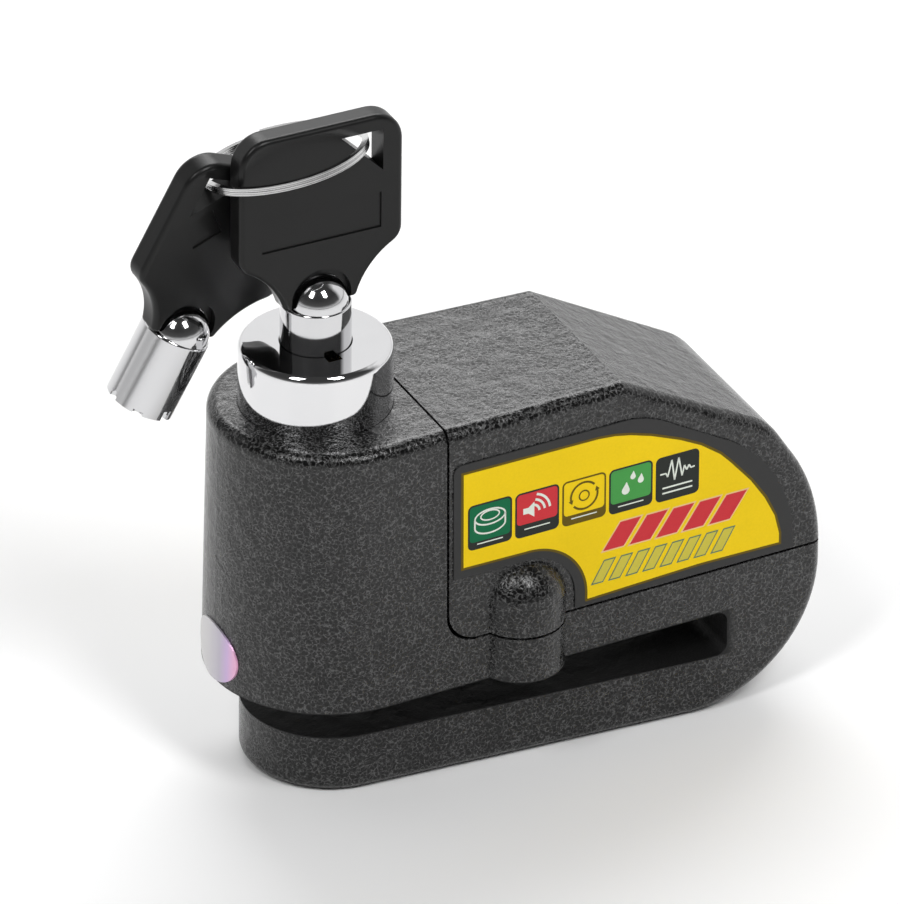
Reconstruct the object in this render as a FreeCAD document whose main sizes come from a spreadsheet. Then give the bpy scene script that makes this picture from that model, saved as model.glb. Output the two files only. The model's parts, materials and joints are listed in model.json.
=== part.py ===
"""Disc brake lock with a shock alarm: a cast body, a push-down plunger and two tubular keys.

Millimetres, +Z up.  The origin is where the plunger's axis meets the flat base, +X runs from the
round nose to the rear, and the body is symmetric about Y = 0.  The plunger stands up, unlocked.
"""
import FreeCAD, Part
import math
import os
import re

import Sketcher
from FreeCAD import Placement, Rotation, Vector

DIMENSIONS = (
    # cast body, outside
    ("nose_radius", 19.3, "nose arc at the base plane"),
    ("nose_centre", 2.0, "distance from the plunger axis back to the nose arc's centre"),
    ("side_taper", 2.2, "degrees, the sides draw in towards the rear"),
    ("cast_draft", 1.1, "degrees, the sides draw in towards the top"),
    ("barrel_top", 61.6, "height of the flat top"),
    ("rim_round", 2.0, "rounding of the long outer edges"),
    ("ridge_x", 43.7, "where the top starts to slope"),
    ("brow_x", 69.5, "corner between the slope and the rear"),
    ("brow_z", 47.6, "height of that corner"),
    ("brow_round", 12.0, "rounding of that corner"),
    ("rear_x", 78.7, "rearmost face"),
    ("rear_z", 33.5, "corner where the rear turns vertical"),
    ("rear_round", 30.0, "rounding of that corner"),
    ("heel_round", 22.0, "rounding from the rear to the base"),
    # disc slot and lower arm
    ("arm_top", 9.7, "upper face of the lower arm"),
    ("slot_height", 7.5, "gap that the brake disc enters"),
    ("slot_end", 62.0, "blind end of the slot"),
    ("slot_round", 1.8, "corner radius at the blind end"),
    ("arm_radius", 13.8, "nose arc of the lower arm"),
    ("arm_centre", 2.6, "distance from the plunger axis back to that arc's centre"),
    ("arm_spread", 3.2, "degrees, the arm widens towards the rear"),
    ("arm_round", 1.6, "rounding of the arm's lower edge"),
    # joint between the body and the cover
    ("seam_x", 13.2, "vertical part of the seam"),
    ("seam_z", 24.8, "horizontal part of the seam"),
    ("seam_gap", 0.4, "width of the seam"),
    ("seam_round", 5.0, "corner radius of the seam"),
    ("gasket_inset", 0.6, "gasket in the seam, back from the outer face"),
    ("gasket_width", 1.5, "gasket in the seam"),
    ("cover_wall", 2.4, "wall of the cover"),
    ("boss_x", 27.0, "screw bosses"),
    ("boss_y", 15.3, "screw bosses, each side of the middle"),
    ("boss_radius", 7.0, "outside of a screw boss"),
    ("boss_dome", 29.0, "height where a boss turns into a dome"),
    ("tube_radius", 14.5, "barrel tube hidden under the cover"),
    ("tube_top", 57.0, "top of that tube"),
    # plunger
    ("plunger_radius", 11.7, "chrome plunger"),
    ("bore_radius", 11.78, "bore for the plunger"),
    ("bore_floor", 24.0, "bottom of the bore"),
    ("plunger_top", 72.0, "top of the raised plunger"),
    ("cap_round", 1.42, "rounding of the plunger's rim"),
    ("plunger_foot", 34.0, "lower end of the raised plunger"),
    ("plunger_travel", 8.8, "stroke"),
    ("shell_bore", 9.8, "inside radius of the plunger shell"),
    ("cap_thickness", 1.5, "closed top of the plunger shell"),
    ("keyhole_radius", 5.55, "keyhole"),
    ("notch_half", 1.15, "half width of the keyway notch"),
    ("notch_reach", 6.9, "radius that the keyway notch reaches"),
    # lock cylinder inside the plunger
    ("shear_plane", 57.0, "height where the pin stacks part"),
    ("plug_radius", 7.28, "turning plug"),
    ("plug_bore", 7.35, "bore for the plug"),
    ("plug_top", 65.95, "shoulder under the key's end"),
    ("post_radius", 4.22, "post inside the key tube"),
    ("tumbler_pitch", 4.85, "radius of the ring of tumblers"),
    ("tumbler_hole", 0.62, "tumbler bores"),
    ("tumbler_radius", 0.55, "tumblers"),
    ("tumbler_count", 7, "tumblers"),
    ("spindle_radius", 2.63, "spindle under the plug"),
    ("cam_bottom", 44.6, "bayonet cam"),
    ("cam_thickness", 3.0, "bayonet cam"),
    ("cam_reach", 13.9, "tip of the cam's lobe"),
    ("cam_half", 2.0, "half width of the lobe"),
    ("cam_radius", 8.5, "round part of the cam"),
    # locking pin
    ("pin_radius", 3.5, "locking pin that passes through the disc"),
    ("pin_tip", 17.4, "tip of the raised pin"),
    ("bush_radius", 5.2, "steel bush round the pin"),
    ("carrier_seat", 41.5, "upper seat of the return spring"),
    # small hardware
    ("socket_radius", 6.0, "steel cup in the lower arm that takes the pin's tip"),
    ("socket_floor", 5.4, "underside of that cup"),
    ("switch_x", 6.4, "arming switch, front face"),
    ("switch_length", 4.6, "arming switch"),
    ("switch_half", 2.8, "arming switch, half width"),
    ("switch_floor", 18.6, "arming switch, underside"),
    ("button_radius", 1.2, "arming switch button"),
    ("stop_screw_z", 39.0, "screw that limits the plunger's travel"),
    ("seal_radius", 12.5, "outside of the plunger's seal"),
    ("seal_bottom", 57.2, "plunger's seal"),
    ("seal_height", 1.8, "plunger's seal"),
    ("screw_head", 3.4, "cover screw, head radius"),
    ("screw_shank", 1.9, "cover screw, shank radius"),
    ("screw_seat", 20.6, "cover screw, under the head"),
    ("screw_tip", 31.8, "cover screw, tip"),
    ("block_bottom", 48.05, "underside of the driver block"),
    ("carrier_pin_radius", 1.0, "cross pins that hold the pin carrier"),
    ("carrier_pin_z", 37.6, "those cross pins"),
    # labels and badge
    ("badge_half_wide", 6.3, "nose badge"),
    ("badge_half_high", 4.8, "nose badge"),
    ("badge_z", 22.2, "nose badge, middle"),
    ("badge_thickness", 0.3, "nose badge"),
    ("label_front", 14.3, "side label, front edge"),
    ("label_rear", 73.3, "side label, rear edge"),
    ("label_low", 25.5, "side label, edge beside the seam"),
    ("label_rest", 36.2, "side label, edge above the screw boss"),
    ("label_top", 55.7, "side label, upper edge"),
    ("label_notch", 8.2, "side label, radius of the notch round the boss"),
    ("label_sweep", 24.1, "side label, radius of the rear curve"),
    ("label_thickness", 0.25, "side label"),
    # alarm unit
    ("case_front", 19.5, "alarm case"),
    ("case_floor", 25.0, "alarm case"),
    ("case_rim", 39.4, "alarm case"),
    ("siren_x", 29.3, "siren"),
    ("cell_radius", 5.8, "button cell"),
    ("cell_length", 5.4, "button cell"),
    ("cell_start", 42.6, "front of the two stacks of cells"),
    ("cell_z", 32.4, "middle of the stacks"),
    # key details
    ("dome_radius", 4.6, "bright dome on the key's shoulder"),
    ("dome_height", 4.6, "that dome"),
    ("dome_shift", 0.7, "each of the two domes stands off the key's middle plane"),
    ("arch_half", 4.9, "arched window on each side of the key head"),
    ("foot_half", 5.9, "half width of the key head at its foot"),
    ("web_half", 0.9, "half thickness of the head between its two windows"),
    ("flank_round", 13.0, "hollow flanks of the key head"),
    # key
    ("shoulder_height", 7.0, "key shoulder above the plunger"),
    ("key_insertion", 6.0, "depth of the key tube in the plunger"),
    ("key_radius", 5.4, "outside of the key tube"),
    ("key_bore", 4.3, "inside of the key tube"),
    ("head_half", 13.4, "half width of the key head"),
    ("head_height", 30.0, "key head above the shoulder"),
    ("head_thickness", 4.0, "key head"),
    ("head_bevel", 0.8, "rounding of the head's faces"),
    ("eye_x", 8.05, "ring hole in the key head"),
    ("eye_z", 25.55, "ring hole above the shoulder"),
    ("eye_side", 2.0, "from the middle of the ring hole to its two straight sides"),
    ("eye_corner", 4.9, "from that middle to the ends of its slanted side"),
    # split ring and spare key
    ("ring_radius", 12.3, "middle of the ring's wire"),
    ("ring_wide", 0.9, "ring strip, radially"),
    ("ring_thick", 0.55, "ring strip, along the ring's axis"),
    ("ring_pitch", 0.6, "one turn of the ring to the next"),
    ("ring_heading", -18.8, "degrees, where on the ring the key hangs"),
    ("ring_rise", 7.5, "degrees, the ring climbs towards +X"),
    ("ring_fall", 14.0, "degrees, the ring falls towards +Y"),
    ("spare_heading", 191.8, "degrees, where on the ring the spare key hangs"),
    ("spare_lean", 24.3, "degrees, the spare key leans from upright"),
    ("spare_tip", 7.5, "degrees, its head tips towards -Y"),
    ("spare_yaw", 4.9, "degrees, its face turns about its length"),
)

doc = FreeCAD.newDocument("disc_brake_lock")
sheet = doc.addObject("Spreadsheet::Sheet", "dims")
for row, (alias, value, meaning) in enumerate(DIMENSIONS, start=1):
    sheet.set(f"A{row}", meaning)
    sheet.set(f"B{row}", str(value))
    sheet.setAlias(f"B{row}", alias)
doc.recompute()
ALIASES = {alias for alias, value, meaning in DIMENSIONS}

UP = Rotation()
DOWN = Rotation(Vector(1, 0, 0), 180)
TO_REAR = Rotation(Vector(0, 1, 0), 90)
TO_NOSE = Rotation(Vector(0, 1, 0), -90)
TO_FAR_SIDE = Rotation(Vector(1, 0, 0), -90)
TO_NEAR_SIDE = Rotation(Vector(1, 0, 0), 90)

nodes = {}


# ---------------------------------------------------------------- helpers: sizes

def named(text):
    """An expression with the sheet's name in front of each of its cells."""
    return re.sub(r"[a-z]+(_[a-z]+)*", lambda word: "dims." + word.group()
                  if word.group() in ALIASES else word.group(), str(text))


def number(text):
    """The value of an expression over the sheet's cells."""
    found = sheet.evalExpression(str(text))
    return float(getattr(found, "Value", found))


def bind(item, sizes):
    for prop, text in sizes.items():
        item.setExpression(prop, named(text))
    return item


def place(item, x, y, z, facing=UP):
    item.Placement = Placement(Vector(), facing)
    return bind(item, {"Placement.Base.x": x, "Placement.Base.y": y, "Placement.Base.z": z})


def node(label, item):
    """Name a finished sub-part."""
    item.Label = label
    nodes[label] = item
    return item


# ---------------------------------------------------------------- helpers: primitives and booleans

def cylinder(radius, height, x=0, y=0, z=0, facing=UP):
    item = doc.addObject("Part::Cylinder", "cylinder")
    bind(item, {"Radius": radius, "Height": height})
    return place(item, x, y, z, facing)


def block(x, y, z, length, width, height):
    """A box whose lowest corner is at x, y, z."""
    item = doc.addObject("Part::Box", "block")
    bind(item, {"Length": length, "Width": width, "Height": height})
    return place(item, x, y, z)


def slab(x, half_width, z, length, height):
    """A box that is symmetric about Y = 0."""
    return block(x, f"-({half_width})", z, length, f"2 * ({half_width})", height)


def socket(across, depth, x, y, z, facing=UP):
    """A hexagonal prism for a hex key."""
    item = doc.addObject("Part::Prism", "socket")
    bind(item, {"Circumradius": across, "Height": depth})
    return place(item, x, y, z, facing)


def fuse(*items):
    if len(items) == 1:
        return items[0]
    item = doc.addObject("Part::MultiFuse", "fusion")
    item.Shapes = list(items)
    return item


def cut(base, *tools):
    item = doc.addObject("Part::Cut", "cut")
    item.Base = base
    item.Tool = fuse(*tools)
    return item


def common(first, second):
    item = doc.addObject("Part::Common", "common")
    item.Base = first
    item.Tool = second
    return item


def ring_of(count, radius, make):
    """Call make(x, y) at equal steps round a circle about the Z axis."""
    made = []
    for index in range(int(number(count))):
        angle = 360 * index / number(count)
        made.append(make(f"({radius}) * cos({angle:.4f} deg)", f"({radius}) * sin({angle:.4f} deg)"))
    return made


def coil(radius, wire, start, length, turns, x=0, y=0, facing=UP):
    """A round-wire coil whose outer ends lie at start and start + length."""
    spine = doc.addObject("Part::Helix", "coil_line")
    bind(spine, {"Radius": radius, "Pitch": f"(({length}) - 2 * ({wire})) / {turns}",
                 "Height": f"({length}) - 2 * ({wire})"})
    section = doc.addObject("Part::Circle", "coil_section")
    bind(section, {"Radius": wire})
    place(section, radius, 0, 0, TO_NEAR_SIDE)
    swept = doc.addObject("Part::Sweep", "coil")
    swept.Sections = [section]
    swept.Spine = (spine, [])
    swept.Solid = True
    swept.Frenet = True
    offset = facing.multVec(Vector(0, 0, 1))
    along = [f"({start} + {wire}) * {part:.0f}" for part in offset]
    return place(swept, f"{x} + {along[0]}", f"{y} + {along[1]}", along[2], facing)


# ---------------------------------------------------------------- helpers: sketches

def new_body(label):
    return doc.addObject("PartDesign::Body", label)


def sketch(owner, plane, shift="0"):
    """A sketch on one of the body's own planes, moved along that plane's normal."""
    drawing = owner.newObject("Sketcher::SketchObject", "outline")
    origin = next(part for part in owner.Origin.OriginFeatures if part.Role == plane)
    drawing.AttachmentSupport = [(origin, "")]
    drawing.MapMode = "FlatFace"
    return bind(drawing, {"AttachmentOffset.Base.z": shift})


def arc_through(start, end, radius):
    """The shorter arc from start to end that turns left, or right if the radius is negative."""
    chord = end - start
    left = Vector(-chord.y, chord.x, 0).normalize()
    rise = math.sqrt(max(radius ** 2 - (chord.Length / 2) ** 2, 0))
    sign = math.copysign(1, radius)
    centre = start + chord * 0.5 + left * rise * sign
    crown = centre - left * abs(radius) * sign
    return Part.Arc(start, crown, end)


def outline(drawing, corners):
    """A closed loop.  A corner is (across, up), or (across, up, radius) where an arc leaves it."""
    points = [Vector(number(corner[0]), number(corner[1]), 0) for corner in corners]
    ends = []
    for start, end, corner in zip(points, points[1:] + points[:1], corners):
        if len(corner) == 2:
            edge = drawing.addGeometry(Part.LineSegment(start, end))
        else:
            edge = drawing.addGeometry(arc_through(start, end, number(corner[2])))
            pinned = drawing.addConstraint(
                Sketcher.Constraint("Radius", edge, abs(number(corner[2]))))
            drawing.setExpression(f"Constraints[{pinned}]", f"abs({named(corner[2])})")
        forward = (drawing.getPoint(edge, 1) - start).Length < 1e-6
        ends.append((edge, (1, 2) if forward else (2, 1)))
    for index, (edge, (first, last)) in enumerate(ends):
        following, (entry, leaving) = ends[(index + 1) % len(ends)]
        drawing.addConstraint(Sketcher.Constraint("Coincident", edge, last, following, entry))
        for kind, text in (("DistanceX", corners[index][0]), ("DistanceY", corners[index][1])):
            pinned = drawing.addConstraint(Sketcher.Constraint(kind, -1, 1, edge, first, number(text)))
            drawing.setExpression(f"Constraints[{pinned}]", named(text))
    return drawing


def disc(drawing, x, y, radius):
    """A circle in a sketch."""
    made = Part.Circle(Vector(number(x), number(y), 0), Vector(0, 0, 1), number(radius))
    edge = drawing.addGeometry(made)
    for kind, text in (("DistanceX", x), ("DistanceY", y)):
        pinned = drawing.addConstraint(Sketcher.Constraint(kind, -1, 1, edge, 3, number(text)))
        drawing.setExpression(f"Constraints[{pinned}]", named(text))
    pinned = drawing.addConstraint(Sketcher.Constraint("Radius", edge, number(radius)))
    drawing.setExpression(f"Constraints[{pinned}]", named(radius))
    return drawing


def pad(owner, drawing, length, both_ways=False, taper="0"):
    made = owner.newObject("PartDesign::Pad", "pad")
    made.Profile = drawing
    made.SideType = "Symmetric" if both_ways else "One side"
    return bind(made, {"Length": length, "TaperAngle": taper})


def pocket(owner, drawing, depth, both_ways=False, upwards=False):
    """Cut a sketch out of a body, and make sure that it took something away."""
    doc.recompute()
    before = owner.Shape.Volume
    made = owner.newObject("PartDesign::Pocket", "pocket")
    made.Profile = drawing
    made.SideType = "Symmetric" if both_ways else "One side"
    made.Reversed = upwards
    bind(made, {"Length": depth})
    doc.recompute()
    if owner.Shape.Volume > before - 0.01:
        raise RuntimeError(f"{owner.Label}: a pocket cut nothing")
    return made


def soften(owner, radius, wanted, kind="Fillet"):
    """Fillet or chamfer the edges of a body for which wanted(edge) holds."""
    doc.recompute()
    tip = owner.Tip
    picked = [f"Edge{index}" for index, edge in enumerate(tip.Shape.Edges, start=1) if wanted(edge)]
    if not picked:
        raise RuntimeError(f"{owner.Label}: no edge to soften")
    made = owner.newObject(f"PartDesign::{kind}", kind.lower())
    made.Base = (tip, picked)
    bind(made, {"Radius" if kind == "Fillet" else "Size": radius})
    doc.recompute()
    check(made)
    return made


def turned(label, profile):
    """A body turned about the Z axis from corners given as (radius, height)."""
    owner = new_body(label)
    drawing = outline(sketch(owner, "XZ_Plane"), profile)
    made = owner.newObject("PartDesign::Revolution", "turn")
    made.Profile = drawing
    made.ReferenceAxis = (drawing, ["V_Axis"])
    bind(made, {"Angle": "360"})
    return owner


def spans(edge, axis):
    """How far an edge reaches along an axis, as its lowest and highest value."""
    points = edge.discretize(5)
    values = [getattr(point, axis) for point in points]
    return min(values), max(values)


def level(edge, axis, value, slack=0.02):
    low, high = spans(edge, axis)
    return abs(low - value) < slack and abs(high - value) < slack


# ---------------------------------------------------------------- the outer form of the casting

PROFILE = (("ridge_x", "barrel_top"), ("brow_x", "brow_z"), ("rear_x", "rear_z"), ("rear_x", "0"))


def mitre(index):
    """How far profile corner number index moves in x and z for each millimetre of inset."""
    points = [Vector(number(x), number(z), 0) for x, z in PROFILE]
    points = [points[0] - Vector(1, 0, 0)] + points + [points[-1] - Vector(1, 0, 0)]
    before = (points[index + 1] - points[index]).normalize()
    after = (points[index + 2] - points[index + 1]).normalize()
    normals = Vector(before.y, -before.x, 0) + Vector(after.y, -after.x, 0)
    return normals * (2 / normals.Length ** 2)


def side_half(x, inset="0"):
    """Half width of the body at the base plane, at a distance x along it."""
    return (f"((nose_radius - ({inset})) / cos(side_taper * 1 deg)"
            f" - (({x}) - nose_centre) * tan(side_taper * 1 deg))")


def outer_form(label, inset="0", rounded=True):
    """The whole outline of the lock, or the same form drawn in by an inset."""
    owner = new_body(label)
    radius = f"(nose_radius - ({inset}))"
    shoulder_x = f"nose_centre + {radius} * sin(side_taper * 1 deg)"
    shoulder_y = f"{radius} * cos(side_taper * 1 deg)"
    plan = outline(sketch(owner, "XY_Plane"), (
        (f"rear_x + 1 - ({inset})", f"-{side_half('rear_x + 1 - (' + inset + ')', inset)}"),
        (f"rear_x + 1 - ({inset})", side_half(f"rear_x + 1 - ({inset})", inset)),
        (shoulder_x, shoulder_y, radius),
        (f"nose_centre - {radius}", "0", radius),
        (shoulder_x, f"-({shoulder_y})"),
    ))
    pad(owner, plan, f"barrel_top - ({inset})", taper="-cast_draft")
    corners = []
    for index, (x, z) in enumerate(PROFILE):
        shift = mitre(index)
        lift = 0 if z == "0" else shift.y
        corners.append((f"{x} + {shift.x:.5f} * ({inset})", f"{z} + {lift:.5f} * ({inset})"))
    far = (("rear_x + 9", corners[-1][1]), ("rear_x + 9", "barrel_top + 9"),
           (corners[0][0], "barrel_top + 9"))
    pocket(owner, outline(sketch(owner, "XZ_Plane"), tuple(corners) + far), "90", both_ways=True)
    for index, radius in ((1, "brow_round"), (2, "rear_round"), (3, "heel_round")):
        x, z = (number(text) for text in corners[index])
        soften(owner, f"{radius} - ({inset})", lambda edge: level(edge, "x", x) and level(edge, "z", z))
    if rounded:
        soften(owner, "rim_round", is_rim)
    return owner


def is_rim(edge):
    """The long outer edges: round the nose's top, and along both sides of the profile."""
    low_y, high_y = spans(edge, "y")
    low_z, high_z = spans(edge, "z")
    low_x, high_x = spans(edge, "x")
    on_top = level(edge, "z", number("barrel_top")) and not level(edge, "x", number("ridge_x"))
    one_side = low_y * high_y > 0 and high_x > number("ridge_x") + 0.5
    return high_z > 0.5 and (on_top or one_side)


def seam_region(owner, gap):
    """A sketch of all that lies behind and above the seam, the gap included."""
    corner = f"seam_x + {gap} + seam_round"
    return outline(sketch(owner, "XZ_Plane"), (
        (corner, f"seam_z + {gap}"), ("rear_x + 9", f"seam_z + {gap}"),
        ("rear_x + 9", "barrel_top + 9"), (f"seam_x + {gap}", "barrel_top + 9"),
        (f"seam_x + {gap}", f"seam_z + {gap} + seam_round", "seam_round"),
    ))


# ---------------------------------------------------------------- main body and its fixed hardware

def sector(radius, height, z):
    """A wedge from the far side round to the nose, in which the cam's lobe turns."""
    item = doc.addObject("Part::Cylinder", "sector")
    bind(item, {"Radius": radius, "Height": height, "Angle": "90 + 2 * 13"})
    return place(item, 0, 0, z, Rotation(Vector(0, 0, 1), 90 - 13))


def make_main_body():
    owner = outer_form("main_casting")
    pocket(owner, seam_region(owner, "0"), "90", both_ways=True)
    tube = disc(sketch(owner, "XY_Plane", "bore_floor - 1"), "0", "0", "tube_radius")
    pad(owner, tube, "tube_top - bore_floor + 1")
    for side in ("-boss_y", "boss_y"):
        boss = disc(sketch(owner, "XY_Plane", "arm_top + slot_height"), "boss_x", side, "boss_radius")
        pad(owner, boss, "seam_z - arm_top - slot_height")
    slot = outline(sketch(owner, "XZ_Plane"), (
        ("-40", "arm_top"), ("slot_end", "arm_top"),
        ("slot_end", "arm_top + slot_height"), ("-40", "arm_top + slot_height")))
    pocket(owner, slot, "90", both_ways=True)
    soften(owner, "slot_round", lambda edge: level(edge, "x", number("slot_end"))
           and spans(edge, "y")[1] > 5 > -5 > spans(edge, "y")[0])
    blend_x = "slot_end + 1"
    arm_half = (f"(arm_radius / cos(arm_spread * 1 deg)"
                f" + ({blend_x} - arm_centre) * tan(arm_spread * 1 deg))")
    shoulder_x = "arm_centre - arm_radius * sin(arm_spread * 1 deg)"
    shoulder_y = "arm_radius * cos(arm_spread * 1 deg)"
    beside_arm = outline(sketch(owner, "XY_Plane", "arm_top + 0.1"), (
        (blend_x, "-40"), (blend_x, f"-{arm_half}"),
        (shoulder_x, f"-({shoulder_y})", "-arm_radius"), ("arm_centre - arm_radius", "0", "-arm_radius"),
        (shoulder_x, shoulder_y), (blend_x, arm_half), (blend_x, "40"), ("-40", "40"), ("-40", "-40")))
    pocket(owner, beside_arm, "arm_top + 1")
    soften(owner, "arm_round", lambda edge: level(edge, "z", 0) and spans(edge, "x")[0] < 60
           and not level(edge, "x", spans(edge, "x")[0]))
    bore = disc(sketch(owner, "XY_Plane", "barrel_top"), "0", "0", "bore_radius")
    pocket(owner, bore, "barrel_top - bore_floor")

    lobe_low = "cam_bottom - plunger_travel - 0.3"
    lobe_height = "cam_thickness + 0.6"
    undercuts = [sector("cam_reach + 0.3", lobe_height, "cam_bottom - 0.3"),
                 sector("cam_reach + 0.3", lobe_height, lobe_low)]
    channel = common(
        cylinder("cam_reach + 0.3", "plunger_travel + cam_thickness + 0.6", z=lobe_low),
        block("-cam_half - 0.3", "0", lobe_low, "2 * cam_half + 0.6", "20",
              "plunger_travel + cam_thickness + 0.6"))
    deck_holes = [
        cylinder("bush_radius", "20", z="arm_top + slot_height - 1"),
        cylinder("socket_radius", "10", z="socket_floor"),
        slab("switch_x - 0.1", "switch_half + 0.1", "switch_floor", "switch_length + 0.2", "10"),
        slab("switch_x + switch_length", "1.2", "switch_floor + 2.6", "7", "20"),
        cylinder("2", "10", x="plunger_radius - 1", z="stop_screw_z", facing=TO_REAR),
        cylinder("seal_radius", "seal_height", z="seal_bottom"),
    ]
    for index in range(5):
        angle = 72 * index
        deck_holes.append(cylinder("1", "20", x=f"siren_x + 4 * cos({angle} deg)",
                                   y=f"4 * sin({angle} deg)", z="arm_top + slot_height - 1"))
    screw_holes = []
    for side in ("-boss_y", "boss_y"):
        screw_holes.append(cylinder("screw_head + 0.2", "4.8", "boss_x", side, "screw_seat - 4.8"))
        screw_holes.append(cylinder("screw_shank + 0.2", "20", "boss_x", side, "screw_seat - 1"))
    return node("main_body", cut(owner, channel, *undercuts, *deck_holes, *screw_holes))


def make_cover():
    owner = outer_form("cover_blank")
    below = outline(sketch(owner, "XZ_Plane"), (
        ("-40", "-9"), ("rear_x + 9", "-9"), ("rear_x + 9", "seam_z + seam_gap"),
        ("seam_x + seam_gap + seam_round", "seam_z + seam_gap", "-seam_round"),
        ("seam_x + seam_gap", "seam_z + seam_gap + seam_round"),
        ("seam_x + seam_gap", "barrel_top + 9"), ("-40", "barrel_top + 9")))
    pocket(owner, below, "90", both_ways=True)
    hollow = outer_form("cover_hollow", "cover_wall", rounded=False)
    foot = "seam_z + seam_gap"
    bosses = []
    for side in ("-boss_y", "boss_y"):
        bosses.append(cylinder("boss_radius", f"boss_dome - {foot}", "boss_x", side, foot))
        dome = doc.addObject("Part::Sphere", "dome")
        bind(dome, {"Radius": "boss_radius", "Angle1": "0"})
        bosses.append(place(dome, "boss_x", side, "boss_dome"))
    shell = cut(fuse(owner, *bosses), hollow)
    columns = [cylinder("5.4", f"33 - ({foot})", "boss_x", side, foot)
               for side in ("-boss_y", "boss_y")]
    pilots = [cylinder("screw_shank", f"screw_tip + 0.4 - ({foot})", "boss_x", side, foot)
              for side in ("-boss_y", "boss_y")]
    return node("alarm_cover", cut(fuse(shell, *columns), *pilots))


def make_gasket():
    """A rubber strip that fills the horizontal seam a little inside the outer face."""
    owner = new_body("gasket_strip")
    drawn_in = "seam_z * tan(cast_draft * 1 deg)"
    front = "seam_x + seam_gap + seam_round"

    def half(x, inset):
        return side_half(x, f"{drawn_in} + {inset}")

    outer, inner = "gasket_inset", "(gasket_inset + gasket_width)"
    rear_outer, rear_inner = f"rear_x - {outer}", f"rear_x - {inner}"
    strip = outline(sketch(owner, "XY_Plane", "seam_z"), (
        (front, f"-{half(front, outer)}"), (rear_outer, f"-{half(rear_outer, outer)}"),
        (rear_outer, half(rear_outer, outer)), (front, half(front, outer)),
        (front, half(front, inner)), (rear_inner, half(rear_inner, inner)),
        (rear_inner, f"-{half(rear_inner, inner)}"), (front, f"-{half(front, inner)}")))
    pad(owner, strip, "seam_gap")
    screw_holes = [cylinder("screw_shank + 0.2", "2", "boss_x", side, "seam_z - 1")
                   for side in ("-boss_y", "boss_y")]
    return node("cover_gasket", cut(owner, *screw_holes))


def make_cover_screws():
    screws = []
    for side in ("-boss_y", "boss_y"):
        head = cylinder("screw_head", "3.3", "boss_x", side, "screw_seat - 3.3")
        shank = cylinder("screw_shank", "screw_tip - screw_seat", "boss_x", side, "screw_seat")
        screws.append(cut(fuse(head, shank), socket("1.7", "1.9", "boss_x", side, "screw_seat - 3.3")))
    return node("cover_screws", fuse(*screws))


def make_front_badge():
    """An oval plate that follows the curve of the nose."""
    oval = doc.addObject("Part::Ellipse", "badge_oval")
    bind(oval, {"MajorRadius": "badge_half_wide", "MinorRadius": "badge_half_high"})
    facing = Rotation(Vector(0, 1, 0), Vector(0, 0, 1), Vector(1, 0, 0), "XYZ")
    place(oval, "nose_centre - nose_radius - 3", 0, "badge_z", facing)
    prism = doc.addObject("Part::Extrusion", "badge_prism")
    prism.Base = oval
    prism.DirMode = "Custom"
    prism.Dir = Vector(1, 0, 0)
    prism.Solid = True
    bind(prism, {"LengthFwd": "12"})

    def nose(extra):
        item = doc.addObject("Part::Cone", "nose")
        bind(item, {"Radius1": f"nose_radius + {extra}", "Height": "barrel_top",
                    "Radius2": f"nose_radius + {extra} - barrel_top * tan(cast_draft * 1 deg)"})
        return place(item, "nose_centre", 0, 0)

    return node("front_badge", common(prism, cut(nose("badge_thickness"), nose("0.01"))))


def make_side_labels():
    """A printed plate on each side of the cover, cut round the screw boss."""
    owner = new_body("label_plate")
    plate = outline(sketch(owner, "XZ_Plane"), (
        ("label_front", "label_rest"), ("boss_x", "label_rest", "-label_notch"),
        ("boss_x + label_notch", "label_rest - label_notch"), ("boss_x + label_notch", "label_low"),
        ("label_rear", "label_low"), ("label_rear", "label_low + 1", "label_sweep"),
        ("brow_x - 7.5", "brow_z - 0.4"), ("ridge_x + 8.3", "brow_z + 5.3", "16"),
        ("ridge_x + 0.3", "label_top"), ("label_front + 1.5", "label_top", "1.5"),
        ("label_front", "label_top - 1.5")))
    pad(owner, plate, "label_thickness")
    taper, draft = number("side_taper"), number("cast_draft")
    facing = Rotation(Vector(0, 0, 1), taper).multiply(Rotation(Vector(1, 0, 0), -draft))
    owner.Placement = Placement(Vector(0, -number(side_half("0")) - 0.005, 0), facing)
    mirrored = doc.addObject("Part::Mirroring", "far_plate")
    mirrored.Source = owner
    mirrored.Normal = Vector(0, 1, 0)
    return node("side_label_near", owner), node("side_label_far", mirrored)


def make_arming_switch():
    case = slab("switch_x", "switch_half", "switch_floor", "switch_length", "bore_floor - switch_floor")
    middle = "switch_x + switch_length / 2"
    node("arming_switch", cut(case, cylinder("button_radius + 0.08", "5", middle, 0, "bore_floor - 2.6")))
    cap = cylinder("button_radius", "2.7", middle, 0, "bore_floor - 1.5")
    node("arming_switch_button", cap)


def make_pin_guides():
    bush = cut(cylinder("bush_radius", "bore_floor - arm_top - slot_height", z="arm_top + slot_height"),
               cylinder("pin_radius + 0.06", "20", z="arm_top + slot_height - 5"))
    node("pin_bush", bush)
    cup = cut(cylinder("socket_radius", "arm_top - socket_floor", z="socket_floor"),
              cylinder("pin_radius + 0.4", "9", z="socket_floor + 1"))
    node("pin_socket", cup)


def make_plunger_stop_screw():
    thread = cylinder("1.95", "tube_radius - plunger_radius - 0.35", "plunger_radius + 0.25", 0,
                      "stop_screw_z", TO_REAR)
    tip = cylinder("1.2", "1.5", "plunger_radius - 1.2", 0, "stop_screw_z", TO_REAR)
    hexagon = socket("1.1", "1.4", "tube_radius - 0.1", 0, "stop_screw_z", TO_NOSE)
    node("plunger_stop_screw", cut(fuse(thread, tip), hexagon))


def make_wiper_seal():
    node("plunger_seal", cut(cylinder("seal_radius", "seal_height", z="seal_bottom"),
                             cylinder("bore_radius - 0.03", "20", z="seal_bottom - 5")))


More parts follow.
